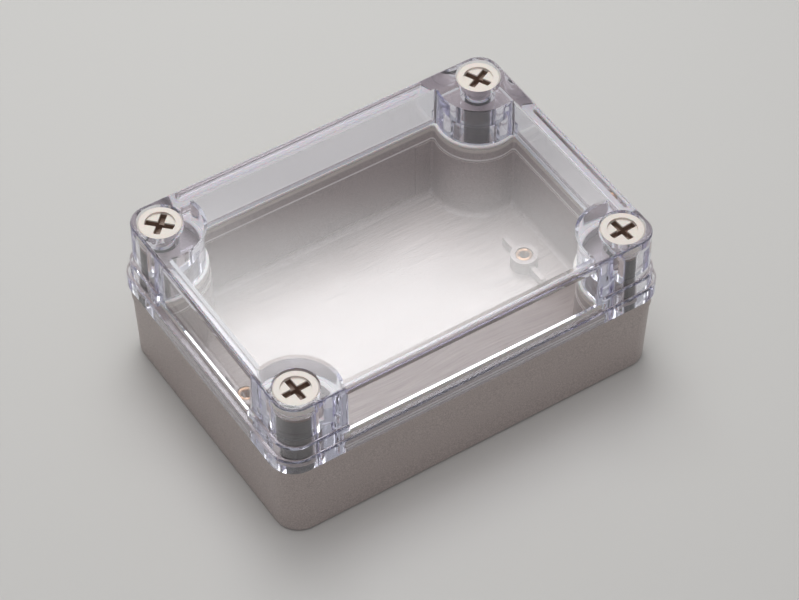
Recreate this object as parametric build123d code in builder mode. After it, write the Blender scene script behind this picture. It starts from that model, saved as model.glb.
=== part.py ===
from build123d import *
import os

# A small weatherproof junction box: a moulded tub, a clear lid that fits over a raised tongue,
# a seal between them and four steel lid screws with moulded caps. Millimetres. X runs along
# the box, Y across it, Z up from the face it rests on, with the origin in the middle of that face.

# Lid, outside
box_length = 83.0  # over the flange
box_width = 59.4
box_height = 34.0
flange_radius = 5.1  # vertical corners of the flange
flange_height = 3.1
crown_step_x = 1.45  # the crown stands this far in from the flange
crown_step_y = 1.0
crown_radius = 4.1
crown_edge = 0.6  # rounding round the top
ledge_edge = 0.3  # bevel round the flange's ledge and the pads
pad_height = 3.0  # thicker corner of the flange under each screw tower
pad_step_x = 0.8
pad_step_y = 0.5
pad_reach = 7.6  # from the screw axis inwards
pad_radius = 4.6

# Lid, inside
lid_wall = 2.2
lid_top = 2.5
lid_inner_edge = 0.6  # bevel between the ceiling and the walls
tower_radius = 8.0  # solid corner round each screw

# Lid screws
head_wall_x = 0.73  # of the crown, outside the hole for the head
head_wall_y = 0.8
head_radius = 4.2  # moulded cap over the screw's steel head
head_height = 2.0
neck_step = 0.6  # shoulder under the cap, beyond the shank
neck_height = 1.5
head_sink = 0.4  # cap's top below the lid's top
head_edge = 0.25  # bevel round its top
head_gap = 0.15  # cap and neck to the lid, all round
seat_gap = 0.05  # cap and neck to the faces they bear on
dish_radius = 2.85  # shallow dish that holds the cross slot
dish_depth = 0.45
slot_width = 1.3
wing_depth = 1.1  # wings of the cross, below the dish
slot_depth = 2.0  # its round middle
slot_taper = 8.0
slot_core = 1.15
cap_skin = 0.3  # cap over the steel head, under the dish
cap_gap = 0.02  # cap to the steel inside it
disc_radius = 3.4  # steel head
disc_height = 0.95
shank_radius = 2.5
shank_tip = 0.7  # cone at the end of the shank
thread_hold = 8.4  # length of shank in the tub's post
thread_gap = 0.05  # shank to the hole in the tub's post
passage_gap = 0.2  # shank to the hole in the lid
passage_land = 5.5  # length of that hole under the neck's seat
relief_step = 0.7  # the hole is this much wider from there down
post_bore_spare = 2.0  # hole beyond the tip of the shank

# Tub
split_height = 18.0  # where the lid rests
seam = 0.1  # between the lid's underside and the tub
rim_step = 0.45  # the tub's top stands this far in from the flange
rim_band = 3.0  # height of the plain band under the split
rim_proud = 0.05  # it stands this far out of the drafted wall at the split
foot_step_x = 1.18  # the tub's bottom stands this far in from the flange
foot_step_y = 0.88
tub_radius = 4.9
foot_edge = 0.5  # bevel round the resting face
rim_wall = 3.15  # thickness of the wall at the top
cavity_draft = 0.8  # degrees
floor_height = 4.0  # inside floor above the resting face
floor_edge = 1.2  # rounding between floor and walls
cusp_radius = 0.7  # rounding where a corner post meets a wall
post_radius = 8.8  # inner face of each corner post about its screw
panel_length = 45.2  # the long walls are thinner between the posts
panel_depth = 0.2
foot_recess = 1.0  # hollow under the floor, inside the foot
foot_width = 3.6
core_wall = 2.2  # walls round the pocket under each post
core_tube = 1.6  # wall of the screw's tube in that pocket
core_roof = 2.6  # solid deck over the pocket

# Tongue and seal
tongue_height = 3.2
tongue_wall = 1.3
tongue_step = 0.25  # stands this far back from the cavity's face
tongue_gap = 0.15  # tongue to the lid's rebate
tongue_edge = 0.3  # bevel round its top
seal_height = 0.7
seal_width = 1.4
seal_gap = 0.05  # seal to the tongue and to the rebate

# Board bosses on the floor
boss_spacing = 60.6
boss_radius = 2.65
boss_height = 3.0
boss_rib_length = 13.2
boss_rib_width = 1.0
boss_rib_drop = 1.1  # the rib's top below the boss's top
insert_radius = 1.7
insert_bore = 1.03
insert_length = 3.4
insert_gap = 0.02

# Places that follow from them
screw_x = box_length / 2 - crown_step_x - head_wall_x - head_gap - head_radius
screw_y = box_width / 2 - crown_step_y - head_wall_y - head_gap - head_radius
screws = {
    "front_left": (-screw_x, -screw_y, 2.0),
    "front_right": (screw_x, -screw_y, 4.0),
    "back_left": (-screw_x, screw_y, 44.0),
    "back_right": (screw_x, screw_y, 25.0),
}
screw_axes = [(x, y) for x, y, turn in screws.values()]
lid_bottom = split_height + seam
ceiling_z = box_height - lid_top
tongue_top = split_height + tongue_height
seal_bottom = tongue_top + seal_gap
rebate_top = seal_bottom + seal_height + seal_gap
head_top = box_height - head_sink
head_bottom = head_top - head_height
head_seat = head_bottom - seat_gap
dish_floor = head_top - dish_depth
disc_top = dish_floor - cap_skin
neck_radius = shank_radius + neck_step
neck_seat = head_bottom - neck_height - seat_gap
passage_radius = shank_radius + passage_gap
shank_end = split_height - thread_hold
tub_length = box_length - 2 * rim_step
tub_width = box_width - 2 * rim_step
base_length = box_length - 2 * foot_step_x
base_width = box_width - 2 * foot_step_y
cavity_length = tub_length - 2 * rim_wall
cavity_width = tub_width - 2 * rim_wall
tongue_length = cavity_length + 2 * (tongue_step + tongue_wall)
tongue_width = cavity_width + 2 * (tongue_step + tongue_wall)
tongue_bite = post_radius - tongue_step - tongue_wall
boss_top = floor_height + boss_height

os.makedirs("parts", exist_ok=True)


def waisted(length, width, bite, soften=cusp_radius):
    """Draw a rectangle with a round bite about each screw axis and its cusps softened."""
    Rectangle(length, width)
    with Locations(*screw_axes):
        Circle(bite, mode=Mode.SUBTRACT)
    fillet(vertices(), soften)


# The space inside the tub, wider at the top so that it leaves its mould
with BuildPart() as cavity:
    with BuildSketch(Plane.XY.offset(split_height)):
        waisted(cavity_length, cavity_width, post_radius)
    extrude(amount=-(split_height - floor_height), taper=cavity_draft)
    fillet(cavity.faces().sort_by(Axis.Z)[0].edges(), floor_edge)

# Base tub
with BuildPart() as tub:
    with BuildSketch():
        RectangleRounded(
            base_length - 2 * foot_edge,
            base_width - 2 * foot_edge,
            tub_radius - foot_edge,
        )
    with BuildSketch(Plane.XY.offset(foot_edge)):
        RectangleRounded(base_length, base_width, tub_radius)
    with BuildSketch(Plane.XY.offset(split_height)):
        RectangleRounded(
            tub_length - 2 * rim_proud, tub_width - 2 * rim_proud, tub_radius
        )
    loft(ruled=True)
    with BuildSketch(Plane.XY.offset(split_height)):
        RectangleRounded(tub_length, tub_width, tub_radius)
    extrude(amount=-rim_band)

    # Tongue that the lid fits over
    with BuildSketch(Plane.XY.offset(split_height)):
        waisted(tongue_length, tongue_width, tongue_bite)
    extrude(amount=tongue_height)
    chamfer(tub.faces().sort_by(Axis.Z)[-1].edges(), tongue_edge)
    with BuildSketch(Plane.XY.offset(split_height)):
        waisted(
            tongue_length - 2 * tongue_wall,
            tongue_width - 2 * tongue_wall,
            tongue_bite + tongue_wall,
        )
    extrude(amount=tongue_height, mode=Mode.SUBTRACT)
    add(cavity.part, mode=Mode.SUBTRACT)

    # Thinner panels in the long walls
    with BuildSketch(Plane.XY.offset(split_height)):
        Rectangle(panel_length, cavity_width + 2 * panel_depth)
    extrude(
        amount=floor_height + floor_edge - split_height,
        taper=cavity_draft,
        mode=Mode.SUBTRACT,
    )

    # Bosses with a rib to each side
    with BuildSketch(Plane.XY.offset(floor_height - foot_recess)):
        with GridLocations(boss_spacing, 0, 2, 1):
            Circle(boss_radius)
    extrude(amount=boss_height + foot_recess)
    with BuildSketch(Plane.XY.offset(floor_height - foot_recess)):
        with GridLocations(boss_spacing, 0, 2, 1):
            Rectangle(boss_rib_width, boss_rib_length)
    extrude(amount=boss_height + foot_recess - boss_rib_drop)
    with BuildSketch(Plane.XY.offset(boss_top)):
        with GridLocations(boss_spacing, 0, 2, 1):
            Circle(insert_radius + insert_gap)
    extrude(amount=-insert_length, mode=Mode.SUBTRACT)

    # Hollow under the floor, and a pocket under each post round the screw's tube
    with BuildSketch():
        waisted(
            cavity_length - 2 * foot_width + 2 * rim_wall,
            cavity_width - 2 * foot_width + 2 * rim_wall,
            post_radius + core_wall,
        )
    extrude(amount=foot_recess, mode=Mode.SUBTRACT)
    with BuildSketch():
        with Locations(*screw_axes):
            Circle(post_radius - core_wall)
        Rectangle(
            base_length - 2 * core_wall,
            base_width - 2 * core_wall,
            mode=Mode.INTERSECT,
        )
        with Locations(*screw_axes):
            Circle(shank_radius + thread_gap + core_tube, mode=Mode.SUBTRACT)
    extrude(amount=split_height - core_roof, mode=Mode.SUBTRACT)

    # Holes that the lid screws turn into
    with BuildSketch(Plane.XY.offset(split_height)):
        with Locations(*screw_axes):
            Circle(shank_radius + thread_gap)
    extrude(amount=-(thread_hold + post_bore_spare), mode=Mode.SUBTRACT)

tub.part.label = "base_tub"
export_step(tub.part, "parts/base_tub.step")

# The space inside the lid, waisted by a solid corner round each screw
with BuildPart() as hollow:
    with BuildSketch(Plane.XY.offset(lid_bottom)):
        waisted(
            box_length - 2 * (crown_step_x + lid_wall),
            box_width - 2 * (crown_step_y + lid_wall),
            tower_radius,
        )
    extrude(amount=ceiling_z - lid_bottom)
    chamfer(hollow.faces().sort_by(Axis.Z)[-1].edges(), lid_inner_edge)

# Clear lid
with BuildPart() as lid:
    with BuildSketch(Plane.XY.offset(lid_bottom)):
        RectangleRounded(box_length, box_width, flange_radius)
    extrude(amount=flange_height)
    chamfer(lid.faces().sort_by(Axis.Z)[-1].edges(), ledge_edge)
    with BuildSketch(Plane.XY.offset(lid_bottom)):
        RectangleRounded(
            box_length - 2 * pad_step_x, box_width - 2 * pad_step_y, pad_radius
        )
        with Locations(*screw_axes):
            Rectangle(2 * pad_reach, 2 * pad_reach, mode=Mode.INTERSECT)
    extrude(amount=flange_height + pad_height)
    chamfer(lid.faces().group_by(Axis.Z)[-1].edges(), ledge_edge)
    with BuildSketch(Plane.XY.offset(lid_bottom)):
        RectangleRounded(
            box_length - 2 * crown_step_x, box_width - 2 * crown_step_y, crown_radius
        )
    extrude(amount=box_height - lid_bottom)
    fillet(lid.faces().sort_by(Axis.Z)[-1].edges(), crown_edge)

    add(hollow.part, mode=Mode.SUBTRACT)

    # Rebate that takes the tongue and the seal
    with BuildSketch(Plane.XY.offset(lid_bottom)):
        waisted(
            tongue_length + 2 * tongue_gap,
            tongue_width + 2 * tongue_gap,
            tongue_bite - tongue_gap,
        )
    extrude(amount=rebate_top - lid_bottom, mode=Mode.SUBTRACT)

    # Counterbore, neck seat, passage and relief for each screw
    with BuildSketch(Plane.XY.offset(box_height)):
        with Locations(*screw_axes):
            Circle(head_radius + head_gap)
    extrude(amount=head_seat - box_height, mode=Mode.SUBTRACT)
    with BuildSketch(Plane.XY.offset(head_seat)):
        with Locations(*screw_axes):
            Circle(neck_radius + head_gap)
    extrude(amount=neck_seat - head_seat, mode=Mode.SUBTRACT)
    with BuildSketch(Plane.XY.offset(head_seat)):
        with Locations(*screw_axes):
            Circle(passage_radius)
    extrude(amount=lid_bottom - head_seat, mode=Mode.SUBTRACT)
    with BuildSketch(Plane.XY.offset(neck_seat - passage_land)):
        with Locations(*screw_axes):
            Circle(passage_radius + relief_step)
    extrude(amount=lid_bottom - neck_seat + passage_land, mode=Mode.SUBTRACT)

lid.part.label = "clear_lid"
export_step(lid.part, "parts/clear_lid.step")

# Seal between the tongue and the lid
with BuildPart() as seal:
    seal_length = tongue_length + 2 * (tongue_gap - seal_gap)
    seal_span = tongue_width + 2 * (tongue_gap - seal_gap)
    seal_bite = tongue_bite - tongue_gap + seal_gap
    with BuildSketch(Plane.XY.offset(seal_bottom)):
        waisted(seal_length, seal_span, seal_bite)
    extrude(amount=seal_height)
    with BuildSketch(Plane.XY.offset(seal_bottom)):
        waisted(
            seal_length - 2 * seal_width,
            seal_span - 2 * seal_width,
            seal_bite + seal_width,
        )
    extrude(amount=seal_height, mode=Mode.SUBTRACT)

seal.part.label = "lid_gasket"
export_step(seal.part, "parts/lid_gasket.step")


def cross(turn):
    """Draw the wings of a screw's cross slot."""
    Rectangle(2 * dish_radius, slot_width, rotation=turn)
    Rectangle(slot_width, 2 * dish_radius, rotation=turn)


# Lid screws: a steel disc with a cross slot on a plain shank, under a moulded cap that has a dish,
# the same cross and a neck round the top of the shank
for place, (x, y, turn) in screws.items():
    with BuildPart() as screw:
        with BuildSketch(Plane((x, y, disc_top))):
            Circle(disc_radius)
        extrude(amount=-disc_height)
        with BuildSketch(Plane((x, y, disc_top))):
            Circle(shank_radius)
        extrude(amount=shank_end - disc_top)
        chamfer(screw.edges().sort_by(Axis.Z)[0], shank_tip)
        with BuildSketch(Plane((x, y, dish_floor))):
            cross(turn)
        extrude(amount=-wing_depth, taper=slot_taper, mode=Mode.SUBTRACT)
        with BuildSketch(Plane((x, y, dish_floor))):
            Circle(slot_core)
        extrude(amount=-slot_depth, taper=slot_taper, mode=Mode.SUBTRACT)
    screw.part.label = f"lid_screw_{place}"
    export_step(screw.part, f"parts/lid_screw_{place}.step")

    with BuildPart() as cap:
        with BuildSketch(Plane((x, y, head_bottom))):
            Circle(head_radius)
        extrude(amount=head_height)
        chamfer(cap.edges().sort_by(Axis.Z)[-1], head_edge)
        with BuildSketch(Plane((x, y, head_bottom))):
            Circle(neck_radius)
        extrude(amount=-neck_height)
        with BuildSketch(Plane((x, y, head_top))):
            Circle(dish_radius)
        extrude(amount=-dish_depth, mode=Mode.SUBTRACT)
        with BuildSketch(Plane((x, y, dish_floor))):
            cross(turn)
        extrude(amount=-wing_depth, taper=slot_taper, mode=Mode.SUBTRACT)
        with BuildSketch(Plane((x, y, disc_top + cap_gap))):
            Circle(disc_radius + cap_gap)
        extrude(amount=-disc_height - 2 * cap_gap, mode=Mode.SUBTRACT)
        with BuildSketch(Plane((x, y, disc_top))):
            Circle(shank_radius + cap_gap)
        extrude(amount=neck_seat - disc_top, mode=Mode.SUBTRACT)
    cap.part.label = f"screw_cap_{place}"
    export_step(cap.part, f"parts/screw_cap_{place}.step")

# Threaded brass inserts in the board bosses
for side, x in (("left", -boss_spacing / 2), ("right", boss_spacing / 2)):
    with BuildPart() as insert:
        with BuildSketch(Plane((x, 0, boss_top - insert_length))):
            Circle(insert_radius)
            Circle(insert_bore, mode=Mode.SUBTRACT)
        extrude(amount=insert_length)
    insert.part.label = f"board_insert_{side}"
    export_step(insert.part, f"parts/board_insert_{side}.step")
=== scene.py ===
import math
import bmesh
import bpy
import numpy as np
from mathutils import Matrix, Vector


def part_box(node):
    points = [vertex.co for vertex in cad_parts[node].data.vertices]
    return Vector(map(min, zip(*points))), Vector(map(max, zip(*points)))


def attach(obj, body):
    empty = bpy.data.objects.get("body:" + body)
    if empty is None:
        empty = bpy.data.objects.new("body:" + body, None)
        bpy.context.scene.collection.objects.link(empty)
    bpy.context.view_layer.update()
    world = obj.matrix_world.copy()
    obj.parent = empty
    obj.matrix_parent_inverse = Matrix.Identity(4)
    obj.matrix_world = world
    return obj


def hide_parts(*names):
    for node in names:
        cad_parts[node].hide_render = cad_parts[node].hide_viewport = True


# A small weatherproof junction box: a grey moulded tub, a clear screw-down lid and steel lid screws
# with ivory caps. Lengths are in millimetres unless a line says otherwise.
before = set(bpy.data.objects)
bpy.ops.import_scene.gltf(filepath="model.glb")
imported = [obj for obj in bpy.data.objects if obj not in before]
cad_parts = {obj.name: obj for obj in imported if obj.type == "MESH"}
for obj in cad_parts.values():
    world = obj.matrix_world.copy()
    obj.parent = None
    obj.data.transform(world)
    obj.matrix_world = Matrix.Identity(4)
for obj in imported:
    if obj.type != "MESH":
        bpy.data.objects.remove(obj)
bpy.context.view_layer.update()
mm = 0.001


# sRGB hex to the linear colour that a shader socket takes: each channel by the sRGB curve.
def linearColour(hexText):
    channels = [int(hexText[i : i + 2], 16) / 255 for i in (1, 3, 5)]
    return tuple(c / 12.92 if c <= 0.04045 else ((c + 0.055) / 1.055) ** 2.4 for c in channels) + (1.0,)


# Adds a node with its settings, gives each input its value or a link from another node's output, and
# returns its own outputs.
def addNode(tree, kind, inputs, **settings):
    node = tree.nodes.new(kind)
    for name, value in settings.items():
        setattr(node, name, value)
    for name, value in inputs.items():
        if isinstance(value, bpy.types.NodeSocket):
            tree.links.new(value, node.inputs[name])
        else:
            node.inputs[name].default_value = value
    return node.outputs


# A node material with nothing in it yet, and its tree.
def newMaterial(name):
    material = bpy.data.materials.new(name)
    material.use_nodes = True
    material.node_tree.nodes.clear()
    return material, material.node_tree


# Tub: ABS, moulded against spark-eroded steel, so a fine satin grain breaks up every highlight
tubLook = {
    "colour": "#C6B9B4",  # warm light grey
    "pits": "#9E918D",  # the hollows of the grain look deeper
    "roughness": 0.38,
    "ior": 1.6,
    "grainSize": 0.23,  # the real grain is near 0.05 and is drawn as coarse as it needs to show
    "grainDetail": 2.0,
    "grainDepth": 0.055,
    "allPits": 0.36,  # the pattern's values between which the tone goes from pits to colour
    "allColour": 0.64,
    "middle": 0.5,
    "wallEvenness": 0.35,  # how far the pattern is pulled to that middle
    "floorEvenness": 0.4,
    "floorTop": 4.3,  # the floor inside lies at 4.0
    "floorFacing": 0.5,  # only faces whose normal points up by more than this
    "floorRoughness": 0.22,  # the mould's core was polished there
    "lineWidth": 0.2,  # of the polishing lines, which run along the box
    "lineStretch": 0.02,
    "lineDetail": 1.0,
    "lineShare": 0.8,  # the rest is grain
    "swirlSize": 26.0,  # the polish wanders in wide arcs
    "swirlShift": 4.0,
    "tongue": "#E4DCD2",  # painted highlight: the tongue's top band is painted paler where it catches the light
    "tongueFoot": 20.0,
    "tongueFull": 20.7,
    "highlightLine": "#FBF8F4",  # painted highlight: a thin bright line painted round the tub at this height, where the light is caught
    "highlightLineHeight": 18.4,
    "highlightLineHalf": 0.24,
}


# Satin grain as tone and bump. On the floor inside, noise stretched along X and bent by a slow swirl
# adds polishing lines, and the gloss is higher. Two height bands paint highlights: the tongue's top band
# paler, and a thin bright line round the inside.
def makeTubMaterial(look):
    material, tree = newMaterial("abs_satin_moulded")
    place = addNode(tree, "ShaderNodeTexCoord", {})["Object"]
    facing = addNode(tree, "ShaderNodeTexCoord", {})["Normal"]
    height = addNode(tree, "ShaderNodeSeparateXYZ", {0: place})["Z"]
    upward = addNode(tree, "ShaderNodeSeparateXYZ", {0: facing})["Z"]
    grain = addNode(
        tree,
        "ShaderNodeTexNoise",
        {"Vector": place, "Scale": 1 / (look["grainSize"] * mm), "Detail": look["grainDetail"]},
    )["Fac"]
    swirl = addNode(
        tree, "ShaderNodeTexNoise", {"Vector": place, "Scale": 1 / (look["swirlSize"] * mm), "Detail": 0.0}
    )["Color"]
    bent = addNode(
        tree,
        "ShaderNodeVectorMath",
        {0: swirl, 1: (0.0, look["swirlShift"] * mm, 0.0), 2: place},
        operation="MULTIPLY_ADD",
    )["Vector"]
    along = addNode(
        tree, "ShaderNodeMapping", {"Vector": bent, "Scale": (look["lineStretch"], 1.0, 1.0)}
    )["Vector"]
    lines = addNode(
        tree,
        "ShaderNodeTexNoise",
        {"Vector": along, "Scale": 1 / (look["lineWidth"] * mm), "Detail": look["lineDetail"]},
    )["Fac"]
    low = addNode(
        tree, "ShaderNodeMath", {0: height, 1: look["floorTop"] * mm}, operation="LESS_THAN"
    )[0]
    level = addNode(
        tree, "ShaderNodeMath", {0: upward, 1: look["floorFacing"]}, operation="GREATER_THAN"
    )[0]
    onFloor = addNode(tree, "ShaderNodeMath", {0: low, 1: level}, operation="MULTIPLY")[0]
    polish = addNode(tree, "ShaderNodeMix", {0: look["lineShare"], 2: grain, 3: lines})[0]
    onWalls = addNode(tree, "ShaderNodeMix", {0: look["wallEvenness"], 2: grain, 3: look["middle"]})[0]
    onBase = addNode(tree, "ShaderNodeMix", {0: look["floorEvenness"], 2: polish, 3: look["middle"]})[0]
    pattern = addNode(tree, "ShaderNodeMix", {0: onFloor, 2: onWalls, 3: onBase})[0]
    spread = addNode(
        tree,
        "ShaderNodeMapRange",
        {"Value": pattern, "From Min": look["allPits"], "From Max": look["allColour"]},
    )[0]
    tone = addNode(
        tree,
        "ShaderNodeMix",
        {0: spread, 6: linearColour(look["pits"]), 7: linearColour(look["colour"])},
        data_type="RGBA",
    )[2]
    # painted highlight: the tongue's top band is painted paler from this height up
    tongueLit = addNode(
        tree,
        "ShaderNodeMapRange",
        {"Value": height, "From Min": look["tongueFoot"] * mm, "From Max": look["tongueFull"] * mm},
        interpolation_type="SMOOTHSTEP",
    )[0]
    withTongueHighlight = addNode(
        tree, "ShaderNodeMix", {0: tongueLit, 6: tone, 7: linearColour(look["tongue"])}, data_type="RGBA"
    )[2]
    # painted highlight: a thin bright line painted round the tub at one height
    onHighlightLine = addNode(
        tree,
        "ShaderNodeMath",
        {0: height, 1: look["highlightLineHeight"] * mm, 2: look["highlightLineHalf"] * mm},
        operation="COMPARE",
    )[0]
    withHighlightLine = addNode(
        tree, "ShaderNodeMix", {0: onHighlightLine, 6: withTongueHighlight, 7: linearColour(look["highlightLine"])}, data_type="RGBA"
    )[2]
    satin = addNode(
        tree, "ShaderNodeMix", {0: onFloor, 2: look["roughness"], 3: look["floorRoughness"]}
    )[0]
    bump = addNode(
        tree, "ShaderNodeBump", {"Height": pattern, "Strength": 1.0, "Distance": look["grainDepth"] * mm}
    )[0]
    shader = addNode(
        tree,
        "ShaderNodeBsdfPrincipled",
        {"Base Color": withHighlightLine, "Roughness": satin, "IOR": look["ior"], "Normal": bump},
    )[0]
    addNode(tree, "ShaderNodeOutputMaterial", {"Surface": shader})
    return material


# Lid: polycarbonate from a polished mould: clear, with a faint cool tint where it is thick
lidLook = {
    "colour": "#FBFBFD",
    "tint": "#DEDCF2",
    "density": 26.0,  # per metre
    "clear": 0.99,  # the rest is haze
    "roughness": 0.02,
    "ior": 1.586,
    "shadow": "#FBFBFC",  # what one surface lets through of the lamps
    "waveSize": 9.0,  # the slow waves of a moulded face
    "waveDepth": 0.006,
}


# Glass-like: it bends what camera and gloss see, but is plainly see-through to shadow and diffuse rays,
# so that the lamps reach what is inside. Its thickness absorbs light towards the tint.
def makeLidMaterial(look):
    material, tree = newMaterial("polycarbonate_clear_polished")
    place = addNode(tree, "ShaderNodeTexCoord", {})["Object"]
    waves = addNode(
        tree, "ShaderNodeTexNoise", {"Vector": place, "Scale": 1 / (look["waveSize"] * mm), "Detail": 0.0}
    )["Fac"]
    bump = addNode(
        tree, "ShaderNodeBump", {"Height": waves, "Strength": 1.0, "Distance": look["waveDepth"] * mm}
    )[0]
    shader = addNode(
        tree,
        "ShaderNodeBsdfPrincipled",
        {
            "Base Color": linearColour(look["colour"]),
            "Roughness": look["roughness"],
            "IOR": look["ior"],
            "Transmission Weight": look["clear"],
            "Normal": bump,
        },
    )[0]
    lampSide = addNode(tree, "ShaderNodeBsdfTransparent", {"Color": linearColour(look["shadow"])})[0]
    path = addNode(tree, "ShaderNodeLightPath", {})
    either = addNode(
        tree, "ShaderNodeMath", {0: path["Is Shadow Ray"], 1: path["Is Diffuse Ray"]}, operation="MAXIMUM"
    )[0]
    surface = addNode(tree, "ShaderNodeMixShader", {0: either, 1: shader, 2: lampSide})[0]
    body = addNode(
        tree,
        "ShaderNodeVolumeAbsorption",
        {"Color": linearColour(look["tint"]), "Density": look["density"]},
    )[0]
    addNode(tree, "ShaderNodeOutputMaterial", {"Surface": surface, "Volume": body})
    return material


# The small pieces' materials. Each has a colour and a deeper one, the size and depth of its grain, how
# the grain is stretched, and the share of light that glows on inside it. The real grain is finer in all
# of them and is drawn as coarse as it needs to show.
glowReach = 0.8  # how far that light travels
smallLooks = {
    "nylon_ivory_moulded": {  # satin, with a little light inside it
        "colour": "#EEE5DE", "shade": "#DFD5CD", "roughness": 0.36, "ior": 1.53, "metal": 0.0,
        "grain": 0.25, "depth": 0.006, "stretch": (1, 1, 1), "glow": 0.12,
    },
    "steel_phosphated": {  # the phosphate coat is matt and dark and hides the steel's mirror
        "colour": "#8F7566", "shade": "#66534A", "roughness": 0.42, "ior": 1.6, "metal": 0.0,
        "grain": 0.12, "depth": 0.006, "stretch": (0.25, 0.25, 1), "glow": 0.0,
        "shankShade": "#3A322F", "shankShadeBelow": 29.0,  # painted shade: the shank is painted darker below this height, for the shade in its bore
    },
    "brass_turned": {  # cut metal, a little dull
        "colour": "#C39C7C", "shade": "#9C785C", "roughness": 0.34, "metal": 1.0,
        "grain": 0.12, "depth": 0.003, "stretch": (0.2, 0.2, 1), "glow": 0.0,
    },
    "silicone_translucent": {  # soft, milky and faintly dusty
        "colour": "#EFEBE6", "shade": "#E2DDD8", "roughness": 0.5, "ior": 1.41, "metal": 0.0,
        "grain": 0.5, "depth": 0.01, "stretch": (1, 1, 1), "glow": 0.3,
    },
}


# One noise is both a slight tone and a fine bump. Steel is painted darker below a height, as painted shade
# on the shank in its bore.
def makeSmallMaterial(name, look):
    material, tree = newMaterial(name)
    place = addNode(tree, "ShaderNodeTexCoord", {})["Object"]
    stretched = addNode(tree, "ShaderNodeMapping", {"Vector": place, "Scale": look["stretch"]})[0]
    grain = addNode(
        tree, "ShaderNodeTexNoise", {"Vector": stretched, "Scale": 1 / (look["grain"] * mm)}
    )["Fac"]
    tone = addNode(
        tree,
        "ShaderNodeMix",
        {0: grain, 6: linearColour(look["shade"]), 7: linearColour(look["colour"])},
        data_type="RGBA",
    )[2]
    # painted shade: the steel is darker below a height, for the shade on the shank inside the lid's bore
    if "shankShade" in look:
        height = addNode(tree, "ShaderNodeSeparateXYZ", {0: place})["Z"]
        aboveShankShade = addNode(
            tree, "ShaderNodeMath", {0: height, 1: look["shankShadeBelow"] * mm}, operation="GREATER_THAN"
        )[0]
        tone = addNode(
            tree, "ShaderNodeMix", {0: aboveShankShade, 6: linearColour(look["shankShade"]), 7: tone}, data_type="RGBA"
        )[2]
    bump = addNode(
        tree, "ShaderNodeBump", {"Height": grain, "Strength": 1.0, "Distance": look["depth"] * mm}
    )[0]
    inputs = {
        "Base Color": tone,
        "Roughness": look["roughness"],
        "Metallic": look["metal"],
        "Subsurface Weight": look["glow"],
        "Subsurface Scale": glowReach * mm,
        "Normal": bump,
    }
    if "ior" in look:  # a metal keeps the default
        inputs["IOR"] = look["ior"]
    shader = addNode(tree, "ShaderNodeBsdfPrincipled", inputs)[0]
    addNode(tree, "ShaderNodeOutputMaterial", {"Surface": shader})
    return material


tubMaterial = makeTubMaterial(tubLook)
lidMaterial = makeLidMaterial(lidLook)
small = {name: makeSmallMaterial(name, look) for name, look in smallLooks.items()}
print("materials made")


# Gives every slot of a CAD node the material.
def dress(node, material):
    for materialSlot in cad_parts[node].material_slots:
        materialSlot.link = "OBJECT"
        materialSlot.material = material


# A piece from its points and faces, smooth except over edges sharper than an angle in degrees.
def makePiece(name, points, faces, material, sharp):
    mesh = bpy.data.meshes.new(name)
    mesh.from_pydata((points * mm).tolist(), [], faces)
    mesh.materials.append(material)
    mesh.shade_smooth()
    mesh.set_sharp_from_angle(angle=math.radians(sharp))
    piece = bpy.data.objects.new(name, mesh)
    bpy.context.scene.collection.objects.link(piece)
    return piece


# A CAD node's mesh with its loose triangles joined, as its points and each triangle's three indices.
def mergedCad(node):
    weld = 0.001 * mm
    grown = bmesh.new()
    grown.from_mesh(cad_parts[node].data)
    bmesh.ops.remove_doubles(grown, verts=grown.verts, dist=weld)
    merged = bpy.data.meshes.new(node)
    grown.to_mesh(merged)
    grown.free()
    points = np.empty(3 * len(merged.vertices))
    merged.vertices.foreach_get("co", points)
    corners = np.empty(len(merged.loops), dtype=int)
    merged.loops.foreach_get("vertex_index", corners)
    bpy.data.meshes.remove(merged)
    return points.reshape(-1, 3) / mm, corners.reshape(-1, 3)


# Quads between the rows of a grid of points whose columns close round, numbered from first.
def gridFaces(rows, columns, first=0):
    row, column = np.meshgrid(np.arange(rows - 1), np.arange(columns), indexing="ij")
    here, after = row * columns + column, row * columns + (column + 1) % columns
    quads = np.stack((here, after, after + columns, here + columns), axis=-1)
    return quads.reshape(-1, 4) + first


# Lid screws: steel, with a thread-forming thread where they hold in the tub's posts
threadLook = {
    "pitch": 1.7,
    "depth": 0.55,
    "crest": 0.09,  # half width of the crest, as a share of the pitch
    "flank": 0.17,
    "end": 19.2,  # height at which the thread runs out into the plain shank
    "runOut": 1.2,
    "tip": 0.7,  # bevel at the tip
    "rowsPerTurn": 12,
    "sharp": 35.0,
}


# Crest radius less a trapezoid that climbs one pitch a turn and fades out at the thread's end. The
# bevel at the tip cuts it.
def threadRadius(angle, height, crest, bottom, look):
    phase = np.abs((height / look["pitch"] - angle / (2 * np.pi)) % 1 - 0.5)
    valley = np.clip((phase - look["crest"]) / look["flank"], 0, 1)
    fade = np.clip((look["end"] - height) / look["runOut"], 0, 1)
    return np.minimum(crest - look["depth"] * valley * fade, crest - look["tip"] + height - bottom)


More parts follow.
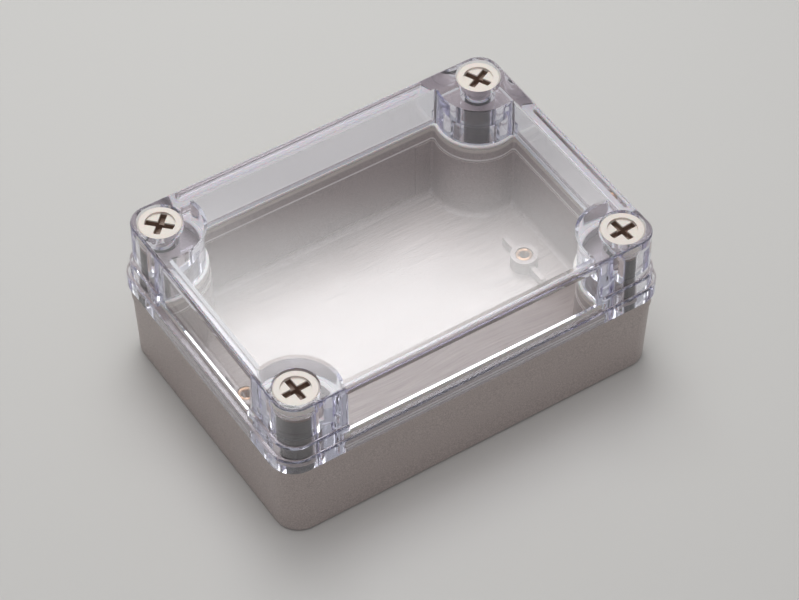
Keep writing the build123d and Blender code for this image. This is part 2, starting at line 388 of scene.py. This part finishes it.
# The CAD screw cut off under its head, and from that rim down a threaded shank: rows of points at
# falling heights, on the radius above, closed by a fan round the middle of the tip.
def makeScrew(place, look):
    node = "lid_screw_" + place
    low, high = (np.array(corner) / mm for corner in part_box(node))
    centre, bottom = (low + high) / 2, low[2]
    points, triangles = mergedCad(node)
    lowest = points[triangles, 2].min(axis=1)
    head, shank = triangles[lowest >= centre[2]], triangles[lowest < centre[2]]
    rim = np.intersect1d(head, shank)
    across = points[rim, :2] - centre[:2]
    bearing = np.arctan2(across[:, 1], across[:, 0])
    rim, angle = rim[np.argsort(bearing)], np.sort(bearing)
    crest = np.hypot(across[:, 0], across[:, 1]).mean()
    rowCount = int((look["end"] - bottom) / look["pitch"] * look["rowsPerTurn"])
    heights = np.append((points[rim[0], 2] + look["end"]) / 2, np.linspace(look["end"], bottom, rowCount))
    angles, levels = np.meshgrid(angle, heights)
    radius = threadRadius(angles, levels, crest, bottom, look)
    east, north = centre[0] + radius * np.cos(angles), centre[1] + radius * np.sin(angles)
    rows = np.stack((east, north, levels), axis=-1)
    kept, head = np.unique(head, return_inverse=True)
    count, first = len(rim), len(kept)
    last, tip = first + (len(heights) - 1) * count, first + len(heights) * count
    here, after = np.arange(count), (np.arange(count) + 1) % count
    ring = np.searchsorted(kept, rim)
    collar = np.stack((ring, first + here, first + after, ring[after]), axis=-1)
    thread = gridFaces(len(heights), count, first)[:, ::-1]
    fan = np.stack((last + after, last + here, np.full(count, tip)), axis=-1)
    faces = head.reshape(-1, 3).tolist() + collar.tolist() + thread.tolist() + fan.tolist()
    points = np.concatenate((points[kept], rows.reshape(-1, 3), [[centre[0], centre[1], bottom]]))
    steel = small["steel_phosphated"]
    screw = makePiece("threaded_screw_" + place, points, faces, steel, look["sharp"])
    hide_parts(node)
    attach(screw, "screw_" + place)


# Board inserts: brass, knurled outside with a groove round the middle, threaded inside
insertLook = {
    "teeth": 24,
    "toothDepth": 0.12,
    "twist": 1.4,  # of the knurl, radians of a tooth's wave per millimetre
    "groove": 0.3,
    "grooveHalf": 0.35,
    "grooveSlope": 3.0,
    "edge": 0.12,  # bevel at both ends
    "mouth": 0.08,  # bevel into the bore
    "bore": 1.03,  # radius at the thread's roots
    "pitch": 0.45,
    "threadDepth": 0.16,
    "columns": 144,
    "outerRows": 24,
    "rowsPerTurn": 8,
    "sharp": 35.0,
}


# A ring whose section closes on itself: up the outside, cut by the deeper of a twisted cosine knurl and
# a groove, over a bevelled top, and down the bore, where a triangle wave climbs one pitch a turn.
def makeInsert(side, look):
    node = "board_insert_" + side
    low, high = (np.array(corner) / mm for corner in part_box(node))
    centre, outer, length = (low + high) / 2, (high[0] - low[0]) / 2, high[2] - low[2]
    angle = np.linspace(0, 2 * np.pi, look["columns"], endpoint=False)
    rise = np.linspace(look["edge"], length - look["edge"], look["outerRows"])[:, None]
    knurl = look["toothDepth"] * (0.5 - 0.5 * np.cos(look["teeth"] * angle + look["twist"] * rise))
    inGroove = np.clip(look["grooveSlope"] * (look["grooveHalf"] - np.abs(rise - length / 2)), 0, 1)
    outside = outer - np.maximum(knurl, look["groove"] * inGroove)
    rowCount = int((length - 2 * look["edge"]) / look["pitch"] * look["rowsPerTurn"])
    fall = np.linspace(length - look["edge"], look["edge"], rowCount)[:, None]
    wave = np.abs((fall / look["pitch"] - angle / (2 * np.pi)) % 1 - 0.5) * 2
    inside = look["bore"] - look["threadDepth"] * wave
    around = np.ones_like(angle)
    shoulder = around * (outer - look["toothDepth"] - look["edge"])
    mouth = around * (look["bore"] + look["mouth"])
    radius = np.concatenate((outside, [shoulder, mouth], inside, [mouth, shoulder]))
    level = np.concatenate((rise[:, 0], [length, length], fall[:, 0], [0, 0]))[:, None] * around
    east, north = centre[0] + radius * np.cos(angle), centre[1] + radius * np.sin(angle)
    rows = np.stack((east, north, low[2] + level), axis=-1)
    points = rows.reshape(-1, 3)
    faces = gridFaces(len(rows) + 1, look["columns"]) % len(points)
    brass = small["brass_turned"]
    insert = makePiece("knurled_insert_" + side, points, faces.tolist(), brass, look["sharp"])
    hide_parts(node)
    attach(insert, "tub")


# Seal: a soft moulded ring. Angles are in degrees.
sealLook = {"round": 0.22, "segments": 3, "flatWithin": 0.5, "roundOver": 50.0, "sharp": 30.0}


# The CAD seal with its coplanar triangles dissolved into whole faces, and its edges rounded by a bevel.
def makeSeal(look):
    points, triangles = mergedCad("lid_gasket")
    silicone = small["silicone_translucent"]
    seal = makePiece("rounded_seal", points, triangles.tolist(), silicone, look["sharp"])
    joined = bmesh.new()
    joined.from_mesh(seal.data)
    flat = math.radians(look["flatWithin"])
    bmesh.ops.dissolve_limit(joined, angle_limit=flat, verts=joined.verts, edges=joined.edges)
    joined.to_mesh(seal.data)
    joined.free()
    bevel = seal.modifiers.new("round", "BEVEL")
    bevel.width = look["round"] * mm
    bevel.segments = look["segments"]
    bevel.limit_method = "ANGLE"
    bevel.angle_limit = math.radians(look["roundOver"])
    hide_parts("lid_gasket")
    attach(seal, "lid")


dress("base_tub", tubMaterial)
dress("clear_lid", lidMaterial)
makeSeal(sealLook)
for side in ("left", "right"):
    makeInsert(side, insertLook)
for place in ("front_left", "front_right", "back_left", "back_right"):
    dress("screw_cap_" + place, small["nylon_ivory_moulded"])
    makeScrew(place, threadLook)
print("pieces made")


# Camera at the photograph's angle. Angles are in degrees, focal length and width in pixels.
cameraView = {
    "azimuth": -32.96,
    "elevation": 48.08,
    "distance": 606.82,
    "target": (1.98, 0.19, 12.0),
    "focal": 3237.28,
    "width": 799,
    "sensor": 36.0,
    "near": 10.0,
    "far": 10000.0,
}


# Places the camera on the ray that leaves its target at the view's azimuth and elevation, looking back
# along it.
def makeCamera(view):
    azimuth, elevation = math.radians(view["azimuth"]), math.radians(view["elevation"])
    level, rise = math.cos(elevation), math.sin(elevation)
    back = Vector((math.sin(azimuth) * level, -math.cos(azimuth) * level, rise))
    data = bpy.data.cameras.new("camera")
    data.sensor_width = view["sensor"]
    data.lens = view["focal"] / view["width"] * view["sensor"]
    data.clip_start, data.clip_end = view["near"] * mm, view["far"] * mm
    camera = bpy.data.objects.new("camera", data)
    camera.location = (Vector(view["target"]) + back * view["distance"]) * mm
    camera.rotation_mode = "QUATERNION"
    camera.rotation_quaternion = (-back).to_track_quat("-Z", "Y")
    bpy.context.scene.collection.objects.link(camera)
    bpy.context.scene.camera = camera


# Floor and room: the room is pale near the horizon and darker overhead
studio = {
    "floorColour": "#D2D0CE",
    "floorRoughness": 0.7,
    "floorSize": 6000.0,
    "roomColour": "#E8EAEE",
    "roomLight": 0.37,  # what falls on the box
    "backdropSeen": 0.80,  # what the camera, gloss and glass see
    "overheadSeen": 0.45,
    "paleBelow": 0.35,  # sine of the elevation
    "darkAbove": 0.65,
    "lightTurns": 24,  # light turns many times inside the lid's thick edges before it leaves
}


# A level pale floor under the box: one square round the origin.
def makeFloor(look):
    half = look["floorSize"] / 2 * mm
    corners = [(-half, -half, 0), (half, -half, 0), (half, half, 0), (-half, half, 0)]
    mesh = bpy.data.meshes.new("floor")
    mesh.from_pydata(corners, [], [(0, 1, 2, 3)])
    floor = bpy.data.objects.new("floor", mesh)
    bpy.context.scene.collection.objects.link(floor)
    material, tree = newMaterial("paper_backdrop")
    shader = addNode(
        tree,
        "ShaderNodeBsdfPrincipled",
        {"Base Color": linearColour(look["floorColour"]), "Roughness": look["floorRoughness"]},
    )[0]
    addNode(tree, "ShaderNodeOutputMaterial", {"Surface": shader})
    mesh.materials.append(material)


# Diffusers above the box. Each fades to nothing over a band along its edges, one width for each axis.
backSoftbox = {
    "place": (88, 201, 430),
    "turn": -22.0,
    "size": 360.0,
    "fade": (98.0, 76.0),
    "strength": 4.9,
    "colour": "#FCFEFC",
}
topSoftbox = {
    "place": (-40, 0, 520),
    "turn": -22.0,
    "size": 520.0,
    "fade": (120.0, 120.0),
    "strength": 2.0,
    "colour": "#FFFDFA",
}


# A level square that glows downwards. Its glow is mixed with clear by a share, the product of a smooth
# fade across X, a smooth fade across Y, and 1 minus Backfacing.
def makeSoftbox(name, look):
    half = look["size"] / 2 * mm
    corners = [(-half, -half, 0), (-half, half, 0), (half, half, 0), (half, -half, 0)]
    mesh = bpy.data.meshes.new(name)
    mesh.from_pydata(corners, [], [(0, 1, 2, 3)])
    diffuser = bpy.data.objects.new(name, mesh)
    diffuser.location = Vector(look["place"]) * mm
    diffuser.rotation_euler.z = math.radians(look["turn"])
    diffuser.visible_camera = False
    bpy.context.scene.collection.objects.link(diffuser)
    material, tree = newMaterial(name)
    place = addNode(tree, "ShaderNodeTexCoord", {})["Object"]
    parts = addNode(tree, "ShaderNodeSeparateXYZ", {0: place})
    behind = addNode(tree, "ShaderNodeNewGeometry", {})["Backfacing"]
    share = addNode(tree, "ShaderNodeMath", {0: 1.0, 1: behind}, operation="SUBTRACT")[0]
    for axis, fade in zip("XY", look["fade"]):
        off = addNode(tree, "ShaderNodeMath", {0: parts[axis]}, operation="ABSOLUTE")[0]
        within = addNode(
            tree,
            "ShaderNodeMapRange",
            {"Value": off, "From Min": half, "From Max": half - fade * mm},
            interpolation_type="SMOOTHSTEP",
        )[0]
        share = addNode(tree, "ShaderNodeMath", {0: share, 1: within}, operation="MULTIPLY")[0]
    glow = addNode(
        tree, "ShaderNodeEmission", {"Color": linearColour(look["colour"]), "Strength": look["strength"]}
    )[0]
    clear = addNode(tree, "ShaderNodeBsdfTransparent", {})[0]
    surface = addNode(tree, "ShaderNodeMixShader", {0: share, 1: clear, 2: glow})[0]
    addNode(tree, "ShaderNodeOutputMaterial", {"Surface": surface})
    mesh.materials.append(material)


# What the camera, gloss and glass see falls smoothly with height from backdrop to overhead. Every
# other ray gets the room's even light.
def makeWorld(look):
    world = bpy.data.worlds.new("studio")
    world.use_nodes = True
    tree = world.node_tree
    tree.nodes.clear()
    way = addNode(tree, "ShaderNodeTexCoord", {})["Generated"]
    up = addNode(tree, "ShaderNodeSeparateXYZ", {0: way})["Z"]
    shade = addNode(
        tree,
        "ShaderNodeMapRange",
        {
            "Value": up,
            "From Min": look["paleBelow"],
            "From Max": look["darkAbove"],
            "To Min": look["backdropSeen"],
            "To Max": look["overheadSeen"],
        },
        interpolation_type="SMOOTHSTEP",
    )[0]
    path = addNode(tree, "ShaderNodeLightPath", {})
    seen = path["Is Camera Ray"]
    for kind in ("Is Glossy Ray", "Is Transmission Ray"):
        seen = addNode(tree, "ShaderNodeMath", {0: seen, 1: path[kind]}, operation="MAXIMUM")[0]
    strength = addNode(tree, "ShaderNodeMix", {0: seen, 2: look["roomLight"], 3: shade})[0]
    room = {"Color": linearColour(look["roomColour"]), "Strength": strength}
    glow = addNode(tree, "ShaderNodeBackground", room)[0]
    addNode(tree, "ShaderNodeOutputWorld", {"Surface": glow})
    bpy.context.scene.world = world


makeCamera(cameraView)
makeFloor(studio)
makeSoftbox("softbox_back", backSoftbox)
makeSoftbox("softbox_top", topSoftbox)
makeWorld(studio)
bpy.context.scene.view_settings.view_transform = "Standard"
cycles = bpy.context.scene.cycles
cycles.max_bounces = cycles.glossy_bounces = cycles.transmission_bounces = studio["lightTurns"]
cycles.transparent_max_bounces = studio["lightTurns"]
print("camera, lamps and floor placed")
